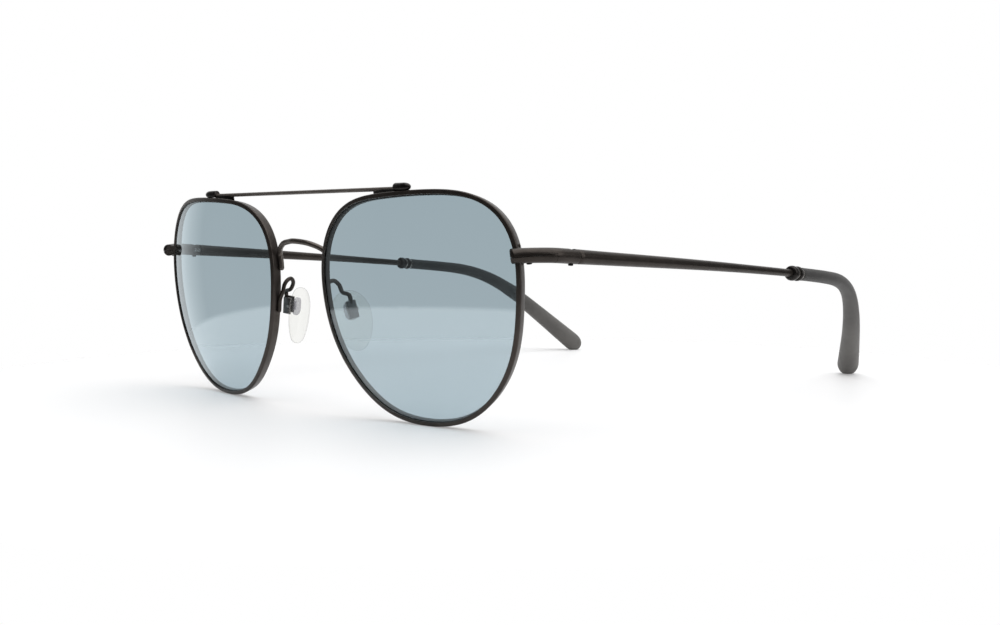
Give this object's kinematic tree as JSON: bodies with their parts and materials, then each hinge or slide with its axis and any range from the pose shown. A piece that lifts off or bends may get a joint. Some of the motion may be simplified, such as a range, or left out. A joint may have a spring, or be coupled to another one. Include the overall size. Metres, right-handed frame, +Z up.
{
  "type": "aviator sunglasses",
  "caption": "Metal-frame aviator sunglasses with tinted teardrop lenses, a bridge and brow bar, silicone nose pads and folding temples with rubber tips.",
  "frame": {"origin": "on the surface the glasses rest on, under the middle of the box around them, so half way between the sides and half way from front to back", "axes": "+X to the wearer's left, -Y the way the wearer looks, +Z up with the glasses resting open on a level surface"},
  "size_m": [0.14, 0.1494, 0.0484],
  "materials": {
    "frame_metal": "satin dark gunmetal with a faint brown cast",
    "dark_metal": "satin near-black",
    "bare_metal": "machined",
    "lens_tint": "polished blue-grey tint with a light flash coating",
    "tip_rubber": "matt dark grey",
    "pad_silicone": null,
    "pad_core": "satin grey insert"
  },
  "bodies": {
    "front": {"rim_left": "frame_metal", "rim_right": "frame_metal", "lens_left": "lens_tint", "lens_right": "lens_tint", "bridge": "frame_metal", "brow_bar": "frame_metal", "brow_bar_cap_left": "dark_metal", "brow_bar_cap_right": "dark_metal", "brow_bar_lug_left": "dark_metal", "brow_bar_lug_right": "dark_metal", "endpiece_left": "frame_metal", "endpiece_right": "frame_metal", "closing_block_left": "frame_metal", "closing_block_right": "frame_metal", "closing_screw_left": "dark_metal", "closing_screw_right": "dark_metal", "hinge_screw_left": "dark_metal", "hinge_screw_right": "dark_metal", "pad_arm_left": "frame_metal", "pad_arm_right": "frame_metal", "pad_box_left": "dark_metal", "pad_box_right": "dark_metal", "pad_screw_left": "bare_metal", "pad_screw_right": "bare_metal"},
    "temple_left": {"hinge_tongue_left": "bare_metal", "temple_arm_left": "frame_metal", "tip_collar_left": "dark_metal", "tip_ring_left": "dark_metal", "temple_tip_left": "tip_rubber"},
    "temple_right": {"hinge_tongue_right": "bare_metal", "temple_arm_right": "frame_metal", "tip_collar_right": "dark_metal", "tip_ring_right": "dark_metal", "temple_tip_right": "tip_rubber"},
    "pad_left": {"nose_pad_left": "pad_silicone", "nose_pad_core_left": "pad_core"},
    "pad_right": {"nose_pad_right": "pad_silicone", "nose_pad_core_right": "pad_core"}
  },
  "joints": [
    {"name": "fold_left", "type": "hinge", "parent": "front", "child": "temple_left", "pos_m": [0.0659, -0.05823, 0.03415], "axis": [0.0084, 0.0615, 0.9981], "range_deg": [0, 85]},
    {"name": "fold_right", "type": "hinge", "parent": "front", "child": "temple_right", "pos_m": [-0.0659, -0.05823, 0.03415], "axis": [0.0084, -0.0615, -0.9981], "range_deg": [0, 73]},
    {"name": "pad_rock_left", "type": "hinge", "parent": "front", "child": "pad_left", "pos_m": [0.01165, -0.06672, 0.02231], "axis": [0.4357, 0.8754, 0.2093], "range_deg": [-10, 5]},
    {"name": "pad_rock_right", "type": "hinge", "parent": "front", "child": "pad_right", "pos_m": [-0.01165, -0.06672, 0.02231], "axis": [0.4357, -0.8754, -0.2093], "range_deg": [-10, 5]}
  ]
}
